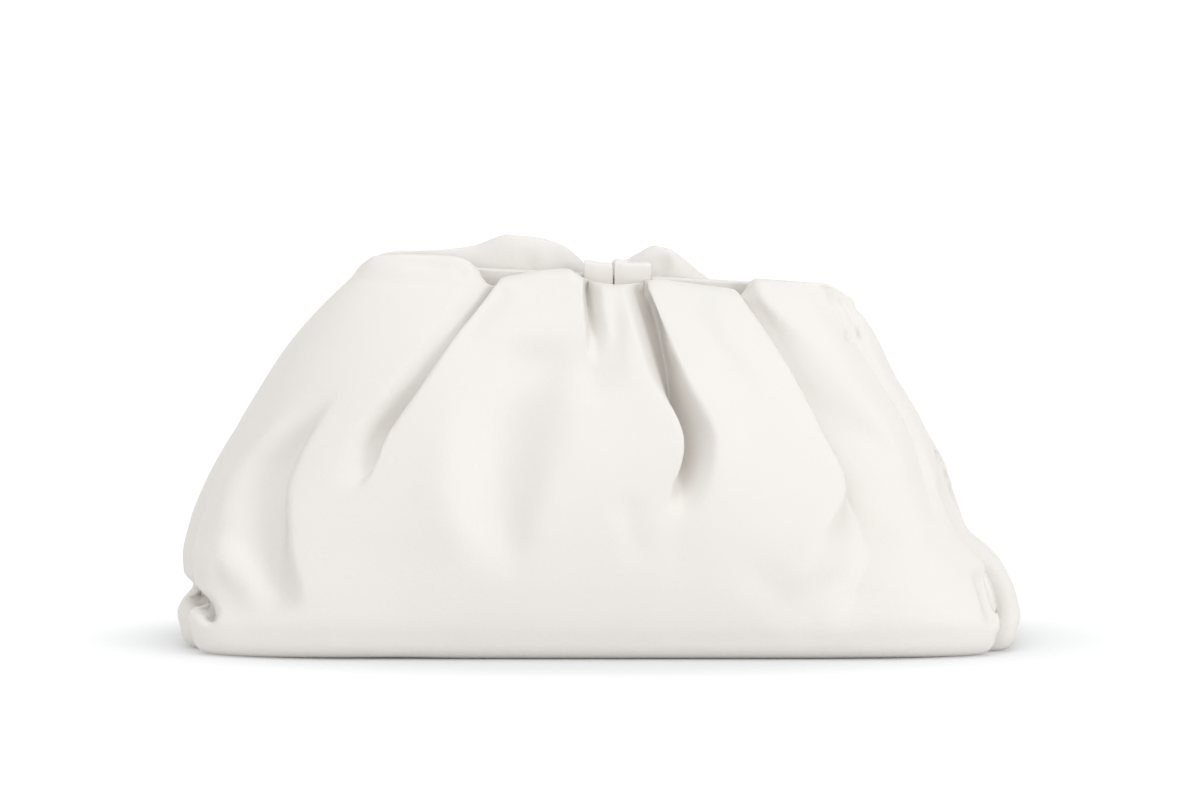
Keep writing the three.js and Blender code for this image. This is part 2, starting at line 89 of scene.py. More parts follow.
# The floor and the wall: pale matt paint, plain and shaded round the bag and glowing white
# further out, so that both end in the same white without a line between them.
floor_size = 30.0
wall_back = 7.0
wall_height = 8.0
lit_from = 0.09  # metres from the bag's middle, where the glow starts
lit_all = 0.14
lit_width = 0.5  # distances across the bag count half, so that the shaded floor is an oval


def studio_paint(name, near, far):
    """Pale paint that turns from matt to glowing between two distances from the bag's middle."""
    paint = bpy.data.materials.new(name)
    paint.use_nodes = True
    nodes, links = paint.node_tree.nodes, paint.node_tree.links
    shader = nodes["Principled BSDF"]
    shader.inputs["Base Color"].default_value = (0.8, 0.8, 0.803, 1)
    shader.inputs["Roughness"].default_value = 0.9
    shader.inputs["Specular IOR Level"].default_value = 0.1
    glow = nodes.new("ShaderNodeEmission")
    glow.inputs["Color"].default_value = (1, 1, 1, 1)
    glow.inputs["Strength"].default_value = 1.05
    place = nodes.new("ShaderNodeTexCoord")
    oval = nodes.new("ShaderNodeVectorMath")
    oval.operation = "MULTIPLY"
    oval.inputs[1].default_value = (lit_width, 1, 1)
    links.new(place.outputs["Object"], oval.inputs[0])
    reach = nodes.new("ShaderNodeVectorMath")
    reach.operation = "LENGTH"
    links.new(oval.outputs["Vector"], reach.inputs[0])
    fade = nodes.new("ShaderNodeMapRange")
    fade.interpolation_type = "SMOOTHSTEP"
    fade.inputs["From Min"].default_value = near
    fade.inputs["From Max"].default_value = far
    links.new(reach.outputs["Value"], fade.inputs["Value"])
    both = nodes.new("ShaderNodeMixShader")
    links.new(fade.outputs["Result"], both.inputs["Fac"])
    links.new(shader.outputs["BSDF"], both.inputs[1])
    links.new(glow.outputs["Emission"], both.inputs[2])
    links.new(both.outputs["Shader"], nodes["Material Output"].inputs["Surface"])
    return paint


stage_paint = studio_paint("stage_paint", lit_from, lit_all)
half = floor_size / 2
stage_corners = {
    "floor": [(-half, -half, 0), (half, -half, 0), (half, half, 0), (-half, half, 0)],
    "back_wall": [(-half, wall_back, 0), (half, wall_back, 0), (half, wall_back, wall_height),
                  (-half, wall_back, wall_height)],
}
for name, corners in stage_corners.items():
    stage_mesh = bpy.data.meshes.new(name)
    stage_mesh.from_pydata(corners, [], [(0, 1, 2, 3)])
    stage_piece = bpy.data.objects.new(name, stage_mesh)
    stage_mesh.materials.append(stage_paint)
    bpy.context.collection.objects.link(stage_piece)

# The pouch: one gathered body of soft, smooth off-white nappa, 1.5 mm thick. Its top edge is
# drawn together along the frame, rolls over both bars and is turned in, and the folds of the
# gathers run down into the full belly and fade there.
pouch_low, pouch_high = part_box("pouch_shell")
widest_share = 0.9924  # the share of the half width and half depth that the widest section reaches
half_width = (pouch_high.x - pouch_low.x) / 2 / widest_share
half_depth = (pouch_high.y - pouch_low.y) / 2 / widest_share
bars_low, bars_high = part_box("front_frame_bar")[0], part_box("back_frame_bar")[1]
frame_middle = np.array([(bars_low.x + bars_high.x) / 2, (bars_low.y + bars_high.y) / 2, 0])
frame_half_length = 0.1
frame_tilt = math.radians(2.9)
frame_height = 0.174  # the bars' top at mid length
leather = 0.0015
foot_round = 0.009
shoulder_drop = 0.008  # from the bars' top down to where the wall ends and the crest starts
lip_drop = 0.012
crest_puff = 0.020  # the height of the crest over the bars where its table says 1
fold_depth = 0.024
lip_beside = 0.00545  # from the frame's middle to the turned-in edge on each side
lip_end_room = 0.004

# The outline at heights from the base to the shoulder: how far it reaches to each side, as shares
# of the half width and the half depth, and how square it is, 2 for an oval and more for a box.
section_heights = (0.0, 0.05, 0.1, 0.2, 0.3, 0.4, 0.5, 0.65, 0.8, 0.92, 1.0)
section_shares = {
    "left": (0.985, 0.995, 0.98, 0.99, 0.973, 0.94, 0.897, 0.825, 0.748, 0.668, 0.605),
    "right": (0.975, 0.985, 0.98, 0.95, 0.874, 0.845, 0.82, 0.768, 0.7, 0.65, 0.61),
    "front": (0.955, 0.98, 0.99, 1.0, 1.0, 0.98, 0.94, 0.83, 0.66, 0.47, 0.325),
    "back": (0.955, 0.98, 0.99, 1.0, 0.99, 0.97, 0.92, 0.81, 0.65, 0.47, 0.325),
    "square": (5.5, 5.0, 4.2, 3.2, 2.8, 2.6, 2.45, 2.4, 2.4, 2.5, 2.8),
}

# Each fold round the pouch, in order. At the stations, which are shares of the height, path is
# where its valley runs, as a share of the half width, deep its depth as a share of the fold depth,
# left and right how far it pulls to either side and lap how far a lobe hangs over it, in mm, more
# than 0 where the left lobe hangs over to the right. crisp says how pointed each side is and rim
# how far each lobe swells, in mm. ends is where the fold stops below and above, each with the
# length that it fades in.
stations = (0, 0.15, 0.3, 0.45, 0.6, 0.8, 1.0)
front_folds = [
    dict(name="left_hollow", path=(-0.76, -0.765, -0.788, -0.822, -0.8, -0.75, -0.72),
         deep=(0.05, 0.35, 0.48, 0.46, 0.25, 0, 0), left=(20, 25, 30, 28, 20, 20, 20),
         right=(16, 16, 15, 13, 8, 6, 6), lap=(0, 0, -2, -2, -1, 0, 0),
         crisp=(0.1, 0.1), rim=(0, 1.2), ends=(0.02, 0.14, 0.73, 0.2)),
    dict(name="left_overlap", path=(-0.67, -0.67, -0.65, -0.615, -0.565, -0.493, -0.44),
         deep=(0, 0, 0.2, 0.44, 0.5, 0.4, 0.36), left=(10, 10, 10, 14, 18, 15, 12),
         right=(8, 8, 8, 8, 9, 10, 10), lap=(0, 0, -2, -6, -9, -10, -7),
         crisp=(0.3, -0.75), rim=(0, 2), ends=(0.4, 0.2, 1.4, 0.2)),
    dict(name="middle_hollow", path=(-0.2, -0.21, -0.23, -0.255, -0.268, -0.23, -0.14),
         deep=(0, 0.05, 0.26, 0.4, 0.46, 0.34, 0), left=(20, 20, 24, 27, 27, 28, 28),
         right=(10, 12, 18, 28, 34, 34, 28), lap=(0, 0, 0, 0, 0, 0, 0),
         crisp=(0.05, 0.1), rim=(3, 0.5), ends=(0.14, 0.2, 0.93, 0.14)),
    dict(name="centre_slit", path=(-0.02, -0.02, -0.02, -0.02, -0.02, -0.015, -0.055),
         deep=(0, 0, 0, 0, 0, 0.3, 0.6), left=(4, 4, 4, 4, 4, 4, 2.2),
         right=(9, 9, 9, 9, 9, 9, 9), lap=(0, 0, 0, 0, 0, 0, 0),
         crisp=(0.1, 0.9), rim=(1.2, 0.5), ends=(0.8, 0.12, 1.4, 0.2)),
    dict(name="centre_overlap", path=(0.17, 0.18, 0.2, 0.238, 0.262, 0.22, 0.175),
         deep=(0, 0, 0.1, 0.55, 1.0, 0.95, 0.75), left=(10, 10, 10, 11, 11, 11, 11),
         right=(8, 8, 8, 11, 12, 7, 4), lap=(0, 0, 0, 4, 7, 0, -2),
         crisp=(0.2, 0.1), rim=(2.2, 1.4), ends=(0.33, 0.2, 1.4, 0.2)),
    dict(name="right_overlap", path=(0.556, 0.61, 0.71, 0.718, 0.672, 0.615, 0.548),
         deep=(0.1, 0.3, 0.4, 0.46, 0.44, 0.42, 0.48), left=(14, 36, 28, 13, 10, 7, 7),
         right=(14, 25, 30, 38, 40, 30, 12), lap=(0, 0, 0, 4, 8, 9, 7),
         crisp=(-0.6, 0.6), rim=(2, 0.5), ends=(0.0, 0.16, 1.4, 0.2)),
    dict(name="right_crease", path=(0.82, 0.86, 0.9, 0.93, 0.935, 0.92, 0.88),
         deep=(0, 0, 0.05, 0.1, 0.1, 0.12, 0.15), left=(16, 16, 16, 16, 16, 14, 12),
         right=(10, 10, 10, 10, 10, 10, 10), lap=(0, 0, 0, -1, -1, -1, -1),
         crisp=(0.3, 0.6), rim=(0, 1), ends=(0.2, 0.2, 1.4, 0.2)),
]
back_folds = [
    dict(name="back_1", path=(0.8, 0.81, 0.82, 0.825, 0.82, 0.8, 0.8),
         deep=(0.05, 0.1, 0.16, 0.2, 0.25, 0.3, 0.3), left=(20, 20, 20, 20, 20, 18, 16),
         right=(30, 30, 30, 30, 28, 24, 20), lap=(0, 0, 0, 0, 0, 1, 0),
         crisp=(0.5, 0.2), rim=(1, 0), ends=(0.1, 0.2, 1.4, 0.2)),
    dict(name="back_2", path=(0.6, 0.61, 0.63, 0.635, 0.61, 0.57, 0.52),
         deep=(0, 0.1, 0.3, 0.5, 0.7, 0.85, 0.6), left=(24, 26, 30, 34, 34, 30, 24),
         right=(12, 12, 11, 10, 9, 9, 9), lap=(0, 0, 0, -3, -6, -6, -2),
         crisp=(0.5, 0.2), rim=(0, 2), ends=(0.16, 0.16, 1.4, 0.2)),
    dict(name="back_3", path=(0.3, 0.31, 0.34, 0.355, 0.36, 0.34, 0.3),
         deep=(0, 0, 0, 0.12, 0.25, 0.35, 0.25), left=(22, 22, 22, 22, 22, 18, 14),
         right=(26, 26, 26, 26, 24, 18, 14), lap=(0, 0, 0, 0, 0, 1, 0),
         crisp=(0.3, 0.3), rim=(1, 0), ends=(0.4, 0.2, 1.4, 0.2)),
    dict(name="back_4", path=(0.05, 0.06, 0.09, 0.115, 0.12, 0.1, 0.06),
         deep=(0, 0, 0.2, 0.55, 0.8, 0.85, 0.5), left=(14, 14, 14, 14, 14, 11, 8),
         right=(18, 18, 18, 18, 16, 14, 12), lap=(0, 0, 0, 2, 4, 3, 1),
         crisp=(0.4, 0.4), rim=(1.5, 0.5), ends=(0.3, 0.14, 1.4, 0.2)),
    dict(name="back_5", path=(-0.15, -0.155, -0.16, -0.16, -0.15, -0.12, -0.14),
         deep=(0, 0, 0, 0.1, 0.2, 0.4, 0.35), left=(12, 12, 12, 12, 12, 10, 8),
         right=(16, 16, 16, 16, 16, 13, 10), lap=(0, 0, 0, 0, 0, -1, 0),
         crisp=(0.4, 0.4), rim=(0, 1), ends=(0.5, 0.2, 1.4, 0.2)),
    dict(name="back_6", path=(-0.42, -0.43, -0.45, -0.46, -0.45, -0.42, -0.36),
         deep=(0, 0.1, 0.25, 0.42, 0.5, 0.45, 0.25), left=(26, 26, 26, 26, 24, 20, 14),
         right=(30, 30, 30, 30, 28, 22, 16), lap=(0, 0, 0, 1, 2, 2, 0),
         crisp=(0.2, 0.3), rim=(1, 0), ends=(0.2, 0.2, 1.4, 0.2)),
    dict(name="back_7", path=(-0.72, -0.73, -0.74, -0.74, -0.71, -0.67, -0.62),
         deep=(0.05, 0.15, 0.3, 0.45, 0.6, 0.6, 0.2), left=(11, 11, 11, 11, 10, 10, 12),
         right=(34, 36, 38, 38, 36, 30, 24), lap=(0, 0, 1, 3, 5, 4, 0),
         crisp=(0.2, 0.5), rim=(2, 0), ends=(0.1, 0.16, 1.4, 0.2)),
]
left_tuck = dict(name="left_tuck", path=(-0.985, -0.985, -0.985, -0.99, -1, -1, -1),
                 deep=(0.4, 0.35, 0.22, 0.16, 0.12, 0.12, 0.2), left=(12, 12, 12, 12, 12, 12, 12),
                 right=(12, 12, 12, 12, 12, 12, 12), lap=(1, 1, 0, 0, 0, 0, 0),
                 crisp=(0.4, 0.6), rim=(1, 1), ends=(-0.2, 0.1, 1.4, 0.2))
right_tuck = dict(name="right_tuck", path=(0.958, 0.962, 0.975, 0.985, 1, 1, 1),
                  deep=(0.45, 0.62, 0.35, 0.22, 0.16, 0.15, 0.25), left=(8, 8, 10, 10, 10, 10, 10),
                  right=(11, 11, 12, 14, 14, 14, 14), lap=(0, 2, 1, 0, 0, 0, 0),
                  crisp=(0.8, 0.4), rim=(1, 1), ends=(-0.2, 0.1, 1.4, 0.2))

# The crest of the gathers from the left end to the right one, at shares of the half width: how
# high it stands over the bars, as a share of the crest's puff.
front_crest = ((-1.0, -0.1), (-0.92, 0.12), (-0.8, 0.2), (-0.62, 0.24), (-0.545, 0.17), (-0.505, 0),
               (-0.475, -0.45), (-0.44, -0.42), (-0.39, -0.25), (-0.33, -0.1), (-0.25, 0.04),
               (-0.14, 0.1), (-0.08, -0.05), (-0.03, -0.15), (0.15, -0.15),
               (0.235, -0.02), (0.38, -0.08), (0.5, -0.15), (0.555, -0.6), (0.6, 0), (0.62, 0.1),
               (0.75, 0.08), (0.93, 0.02), (1.0, -0.2))
back_crest = ((-1.0, -0.1), (-0.85, 0.2), (-0.66, 0.3), (-0.53, 0.42), (-0.38, 0.68), (-0.26, 0.66),
              (-0.17, 0.55), (-0.09, 0.3), (-0.06, 0.16), (-0.01, 0.05), (0.02, 0.1), (0.06, 0.3),
              (0.1, 0.3), (0.15, 0.44), (0.22, 0.62), (0.28, 0.56),
              (0.34, 0.38), (0.41, 0.1), (0.5, -0.2), (0.6, -0.25), (1.0, -0.3))


def smooth_line(places, values):
    """A smooth line through a table's rows that never swings past them."""
    places, values = np.asarray(places, float), np.asarray(values, float)
    spans = np.diff(places)
    rises = np.diff(values, axis=0) / spans
    slopes = np.empty_like(values)
    slopes[0], slopes[-1] = rises[0], rises[-1]
    product, total = rises[:-1] * rises[1:], rises[:-1] + rises[1:]
    slopes[1:-1] = np.where(product > 0, 2 * product / np.where(total == 0, 1, total), 0)

    def line(at):
        at = np.clip(at, places[0], places[-1])
        i = np.clip(np.searchsorted(places, at) - 1, 0, len(spans) - 1)
        t = (at - places[i]) / spans[i]
        rest = 1 - t
        return (values[i] * (1 + 2 * t) * rest**2 + values[i + 1] * t**2 * (3 - 2 * t)
                + spans[i] * t * rest * (slopes[i] * rest - slopes[i + 1] * t))

    return line


section = {name: smooth_line(section_heights, shares) for name, shares in section_shares.items()}
crest_line = [smooth_line(*zip(*rows)) for rows in (front_crest, back_crest)]


def bar_top(x):
    """The height of the bars' top, which slopes down a little to the right."""
    return frame_height - math.tan(frame_tilt) * x


def section_point(angle, height, inset):
    """The pouch's outline at a height, without its folds."""
    across = np.sin(angle)
    on_front = np.cos(angle) > 0
    wide = np.where(across < 0, section["left"](height), section["right"](height)) * half_width
    deep = np.where(on_front, section["front"](height), section["back"](height)) * half_depth
    square = section["square"](height)
    depth = (deep - inset) * (1 - np.abs(across)**square) ** (1 / square)
    return across * (wide - inset), np.where(on_front, -depth, depth)


# The folds in order round the pouch, each with smooth lines through its table.
folds = [dict(left_tuck, back=False)] + [dict(fold, back=False) for fold in front_folds]
folds += [dict(right_tuck, back=False)] + [dict(fold, back=True) for fold in back_folds]
for fold in folds:
    share = np.asarray(fold["path"])
    fold["line"] = smooth_line(stations, np.pi - np.arcsin(share) if fold["back"] else np.arcsin(share))
    fold["depth"] = smooth_line(stations, np.asarray(fold["deep"]) * fold_depth)
    for measure in ("left", "right", "lap"):
        fold[measure] = smooth_line(stations, np.asarray(fold[measure]) / 1000)


def fold_angles(height):
    """Where each valley runs at a height, as an angle round the pouch, and the first one again."""
    angles = [fold["line"](height) for fold in folds]
    return np.array(angles + [angles[0] + 2 * np.pi])


# The columns of the skin follow the valleys. Each lobe between two valleys has as many as fit its
# length round the belly, and they stand closer together beside the valleys.
column_gap = 0.0017
fewest_columns = 6
arc_steps = 60
valley_height = 0.55
belly_height = 0.4
closer_share = 0.55  # how much the columns crowd to the valleys, 0 for not at all
middle_angles = fold_angles(valley_height)
column_lobes, column_shares = [], []
for lobe in range(len(folds)):
    arc = np.linspace(middle_angles[lobe], middle_angles[lobe + 1], arc_steps)
    run_x, run_y = section_point(arc, belly_height, 0)
    length = np.hypot(np.diff(run_x), np.diff(run_y)).sum()
    count = max(fewest_columns, round(length / column_gap))
    even = np.arange(count) / count
    share = even * (1 - closer_share) + (1 - np.cos(even * np.pi)) / 2 * closer_share
    column_lobes += [lobe] * count
    column_shares += list(share)
column_lobes, column_shares = np.array(column_lobes), np.array(column_shares)
first_column = {k: int(np.argmax(column_lobes == k)) for k in range(len(folds))}
columns = len(column_lobes)


def ramp(value):
    """From 0 to 1 with a soft start and a soft end."""
    value = np.clip(value, 0, 1)
    return value * value * (3 - 2 * value)


rim_power = 2.6  # the higher, the flatter a hollow with a sharp rim stays until it meets the rim


def pull(reach, crisp):
    """1 in the valley and 0 where its pull ends: a soft wave, or with crisp a pointed groove, or
    where crisp is negative a hollow with a sharp rim."""
    reach = np.clip(reach, 0, 1)
    soft = (1 + np.cos(np.pi * reach)) / 2
    other = np.where(crisp < 0, 1 - reach**rim_power, (1 - reach)**2)
    return soft * (1 - np.abs(crisp)) + other * np.abs(crisp)


rim_width = 0.011  # of the swelling beside a fold
slip = 1.2  # how far a valley slips under the lobe that hangs over it, for each length of lap
lap_spread = 0.75  # how wide the hanging over is, as a share of how far the fold pulls
sharp_from = 0.52  # the height from which a sharp rim starts to be sharp
sharp_over = 0.2


def wall_ring(height, inset=0.0):
    """One ring of the outer skin, level with the floor."""
    guides = fold_angles(height)
    angle = guides[column_lobes] + (guides[column_lobes + 1] - guides[column_lobes]) * column_shares
    x, y = section_point(angle, height, inset)
    around = np.hypot(np.diff(x, append=x[0]), np.diff(y, append=y[0]))
    run = np.concatenate([[0], np.cumsum(around)[:-1]])
    girth = around.sum()
    ahead_x, ahead_y = np.roll(x, -1) - np.roll(x, 1), np.roll(y, -1) - np.roll(y, 1)
    length = np.hypot(ahead_x, ahead_y)
    tangent = np.stack([ahead_x, ahead_y]) / length
    outward = np.stack([tangent[1], -tangent[0]])
    inward, sideways = np.zeros(columns), np.zeros(columns)
    for k, fold in enumerate(folds):
        away = (run - run[first_column[k]] + girth / 2) % girth - girth / 2
        low, low_fade, high, high_fade = fold["ends"]
        there = ramp((height - low) / low_fade) * ramp((high - height) / high_fade)
        depth = fold["depth"](height) * there
        left, right, lap = fold["left"](height), fold["right"](height), fold["lap"](height) * there
        on_left = away < 0
        reach = np.where(on_left, -away / left, away / right)
        crisp = np.where(on_left, *fold["crisp"])
        crisp = np.where(crisp < 0, crisp * ramp((height - sharp_from) / sharp_over), crisp)
        amount = pull(reach, crisp)
        inward += depth * amount
        swell = np.where(on_left, *fold["rim"]) / 1000 * depth / fold_depth
        inward -= swell * np.exp(-(((reach - 1.0) * np.where(on_left, left, right)) / rim_width)**2)
        lobe_reach = left if lap > 0 else right
        rim_away = away + left if lap > 0 else away - right
        sideways -= lap * slip * pull(np.abs(away) / lobe_reach, 0)
        sideways += lap * np.exp(-(rim_away / (lobe_reach * lap_spread))**2)
    place = np.stack([x, y]) - outward * inward + tangent * sideways
    return place, angle, outward


pleats_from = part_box("centre_pleat_left")[0].x - frame_middle[0]
pleats_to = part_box("centre_pleat_right")[1].x - frame_middle[0]
pleat_lead = 0.012  # how far before the pleats the edge starts to stand off
pleat_lead_share = 0.6  # the share of that length in which it reaches the pleats' thickness
pleat_thick = 0.0023


def pleat_room(x):
    """How far the edge stands off the front bar to clear the two pleats wrapped round it."""
    inside = np.minimum(x - pleats_from, pleats_to - x) / pleat_lead + 1
    return pleat_thick * ramp(inside / pleat_lead_share)


face_end = 0.9  # the share of the way across at which the edge turns round the bars' ends
loose_from = 0.75  # the share of the bars' length from which the edge stands looser
loose_over = 0.15


def lip_ring(angle):
    """The turned-in edge, which runs along both bars and is looser round their ends."""
    across = np.sin(angle)
    on_front = np.cos(angle) > 0
    end_x = frame_half_length + lip_end_room
    along = np.minimum(np.abs(across) / face_end, 1)
    bend = np.maximum((np.abs(across) - face_end) / (1 - face_end), 0)
    x = np.sign(across) * (along * end_x + bend * lip_end_room)
    loose = lip_end_room * ramp((np.abs(x) / end_x - loose_from) / loose_over)
    aside = np.where(on_front, pleat_room(x), 0)
    y = (lip_beside + loose + aside) * np.sqrt(1 - bend**2)
    return np.stack([x, np.where(on_front, -y, y)])


base_scales = (0.35, 0.7, 0.9, 0.97)  # the flat rings of the base
foot_rows = 7
wall_rows = 100
crest_rows = 22
lean_rows = 4  # the top rows of the wall, which give the slope that the crest goes on with
crest_lead = 0.45  # how far the crest goes on along that slope, as a share of its whole reach
crest_round = 0.3  # how far out from the lip it comes down, as a share of the way to the wall


def skin_rings():
    """The outer skin from the middle of the base up, over the crest and down to the lip."""
    rings = []
    foot, _, _ = wall_ring(0, foot_round)
    for scale in base_scales:
        rings.append(np.vstack([foot * scale, np.zeros(columns)]))
    for turn in np.linspace(0, 1, foot_rows, endpoint=False):
        bend = turn * math.pi / 2
        place, _, _ = wall_ring(0, foot_round * (1 - math.sin(bend)))
        rings.append(np.vstack([place, np.full(columns, foot_round * (1 - math.cos(bend)))]))
    for height in np.linspace(0, 1, wall_rows):
        place, angle, _ = wall_ring(height)
        shoulder = bar_top(place[0]) - shoulder_drop
        rings.append(np.vstack([place, foot_round + height * (shoulder - foot_round)]))
    rise = np.where(np.cos(angle) > 0, crest_line[0](np.sin(angle)), crest_line[1](np.sin(angle)))
    lip = lip_ring(angle)
    lip_z = bar_top(lip[0]) - lip_drop
    below, _, _ = wall_ring(1 - lean_rows / wall_rows)
    lean = np.vstack([place - below, (shoulder - foot_round) * lean_rows / wall_rows])
    lean /= np.linalg.norm(lean, axis=0)
    top_z = bar_top(place[0]) + rise * crest_puff
    reach = np.hypot(*(lip - place), lip_z - shoulder)
    first = np.vstack([place, shoulder]) + lean * reach * crest_lead
    last = lip + (place - lip) * crest_round
    # Halfway a cubic curve has an eighth of each end and three eighths of each handle.
    last_z = (top_z - (shoulder + lip_z) / 8) * 8 / 3 - first[2]
    for row in range(1, crest_rows + 1):
        t = row / crest_rows
        a, b, c, d = (1 - t)**3, 3 * t * (1 - t)**2, 3 * t**2 * (1 - t), t**3
        level = place * a + first[:2] * b + last * c + lip * d
        rings.append(np.vstack([level, shoulder * a + first[2] * b + last_z * c + lip_z * d]))
    return np.array(rings).transpose(0, 2, 1)


# Soft dents that cross the folds, on the front where side is -1 and on the back where it is 1.
# at is the middle, in shares of the half width across and of the frame's height up. size is the
# dent's two half lengths, in shares of the half width, turn is in radians and deep in metres.
dents = [
    dict(side=-1, at=(0.71, 0.5), size=(0.2, 0.05), turn=-0.62, deep=0.004),
    dict(side=-1, at=(-0.02, 0.76), size=(0.05, 0.06), turn=0.1, deep=0.004),
    dict(side=-1, at=(0.03, 0.88), size=(0.028, 0.08), turn=0.0, deep=0.0025),
    dict(side=-1, at=(-0.12, 0.77), size=(0.08, 0.05), turn=0.3, deep=0.0025),
    dict(side=-1, at=(-0.85, 0.15), size=(0.07, 0.06), turn=-0.4, deep=0.0035),
    dict(side=-1, at=(0.17, 0.36), size=(0.05, 0.16), turn=0.1, deep=0.0012),
    dict(side=-1, at=(-0.5, 0.3), size=(0.12, 0.2), turn=0.2, deep=0.002),
    dict(side=1, at=(-0.35, 0.3), size=(0.2, 0.16), turn=0.2, deep=0.005),
    dict(side=1, at=(0.5, 0.3), size=(0.16, 0.15), turn=-0.3, deep=0.006),
]

# Creases, each through a few points across and up, in the shares that a dent's middle has. deep is
# in metres, and less than 0 for a ridge. below and above are how far it pulls to either side of its
# run, and fade is the shares of its run in which it starts and ends.
creases = [
    dict(side=-1, run=((-1.01, 0.175), (-0.95, 0.155), (-0.915, 0.134), (-0.903, 0.11), (-0.907, 0.08)),
         deep=0.010, below=0.006, above=0.005, fade=(0.0, 0.25)),
    dict(side=-1, run=((-0.95, 0.215), (-0.88, 0.26), (-0.82, 0.2), (-0.77, 0.13)), deep=-0.0025,
         below=0.010, above=0.014, fade=(0.15, 0.3)),
    dict(side=-1, run=((0.865, 0.24), (0.892, 0.16), (0.905, 0.07)), deep=0.0045,
         below=0.005, above=0.012, fade=(0.3, 0.3)),
    dict(side=-1, run=((-0.5, 1.03), (-0.42, 1.032), (-0.34, 1.02), (-0.305, 1.005)), deep=0.0015,
         below=0.004, above=0.005, fade=(0.5, 0.1)),
    dict(side=-1, run=((0.3, 0.3), (0.42, 0.16), (0.52, 0.08)), deep=0.002,
         below=0.016, above=0.016, fade=(0.4, 0.2)),
    dict(side=-1, run=((0.05, 0.46), (0.07, 0.36), (0.09, 0.24)), deep=0.0016,
         below=0.012, above=0.012, fade=(0.3, 0.4)),
    dict(side=-1, run=((0.66, 0.86), (0.74, 0.7), (0.83, 0.5), (0.9, 0.34)), deep=0.002,
         below=0.016, above=0.012, fade=(0.3, 0.4)),
    dict(side=-1, run=((0.545, 0.96), (0.57, 0.93), (0.595, 0.9), (0.6, 0.86), (0.625, 0.82)),
         deep=0.0028, below=0.006, above=0.005, fade=(0.3, 0.25)),
    dict(side=-1, run=((0.56, 0.975), (0.59, 0.95), (0.61, 0.92)), deep=-0.002,
         below=0.006, above=0.005, fade=(0.3, 0.3)),
    dict(side=-1, run=((0.57, 0.845), (0.59, 0.832), (0.615, 0.84)), deep=0.002,
         below=0.004, above=0.004, fade=(0.3, 0.3)),
    dict(side=-1, run=((0.1, 0.965), (0.13, 0.89), (0.165, 0.8)), deep=0.001,
         below=0.003, above=0.004, fade=(0.1, 0.5)),
    dict(side=-1, run=((0.24, 0.95), (0.3, 0.84), (0.42, 0.68)), deep=-0.0016,
         below=0.009, above=0.012, fade=(0.2, 0.5)),
    dict(side=-1, run=((-0.22, 0.98), (-0.28, 0.9), (-0.33, 0.8)), deep=0.0014,
         below=0.007, above=0.009, fade=(0.1, 0.5)),
    dict(side=1, run=((-0.5, 1.02), (-0.42, 0.99), (-0.34, 0.99), (-0.27, 1.03)), deep=0.0025,
         below=0.010, above=0.014, fade=(0.3, 0.4)),
    dict(side=1, run=((-0.2, 1.06), (-0.17, 1.02), (-0.16, 0.99)), deep=0.0018,
         below=0.008, above=0.010, fade=(0.5, 0.3)),
    dict(side=1, run=((0.13, 0.99), (0.15, 1.02), (0.17, 1.05)), deep=0.0018,
         below=0.006, above=0.008, fade=(0.2, 0.5)),
]
crease_crisp = 0.35


def press_creases(points, outward):
    """Presses in, or where deep is negative raises, a soft line through the points of its run."""
    for crease in creases:
        run = np.array(crease["run"]) * (half_width, frame_height)
        best = np.full(points.shape[:2], np.inf)
        side_of, share_of = np.zeros_like(best), np.zeros_like(best)
        lengths = np.linalg.norm(np.diff(run, axis=0), axis=1)
        starts = np.concatenate([[0], np.cumsum(lengths)])
        flat = points[..., (0, 2)]
        for start, end, before, length in zip(run, run[1:], starts, lengths):
            step = (end - start) / length
            along = np.clip((flat - start) @ step, 0, length)
            gap = flat - (start + along[..., None] * step)
            away = np.linalg.norm(gap, axis=2)
            nearer = away < best
            best = np.where(nearer, away, best)
            turn = step[0] * gap[..., 1] - step[1] * gap[..., 0]
            side_of = np.where(nearer, turn, side_of)
            share_of = np.where(nearer, (before + along) / starts[-1], share_of)
        width = np.where(side_of < 0, crease["below"], crease["above"])
        first, last = crease["fade"]
        there = ramp((1 - share_of) / last)
        if first:
            there = there * ramp(share_of / first)
        amount = pull(best / width, crease_crisp) * there * (points[..., 1] * crease["side"] > 0)
        points -= outward * (crease["deep"] * amount)[..., None]
    return points


def press_dents(points, outward):
    """Presses each dent in as a soft oval."""
    for dent in dents:
        beside = points[..., 0] / half_width - dent["at"][0]
        above = (points[..., 2] / frame_height - dent["at"][1]) * frame_height / half_width
        turn = dent["turn"]
        along = (beside * math.cos(turn) + above * math.sin(turn)) / dent["size"][0]
        up = (above * math.cos(turn) - beside * math.sin(turn)) / dent["size"][1]
        amount = np.exp(-(along**2 + up**2)) * (points[..., 1] * dent["side"] > 0)
        points -= outward * (dent["deep"] * amount)[..., None]
    return points


def grid_normals(points):
    """The outward direction at each point of a grid of closed rings."""
    along = np.roll(points, -1, axis=1) - np.roll(points, 1, axis=1)
    up = np.gradient(points, axis=0)
    normal = np.cross(along, up)
    return normal / np.maximum(np.linalg.norm(normal, axis=2, keepdims=True), 1e-9)


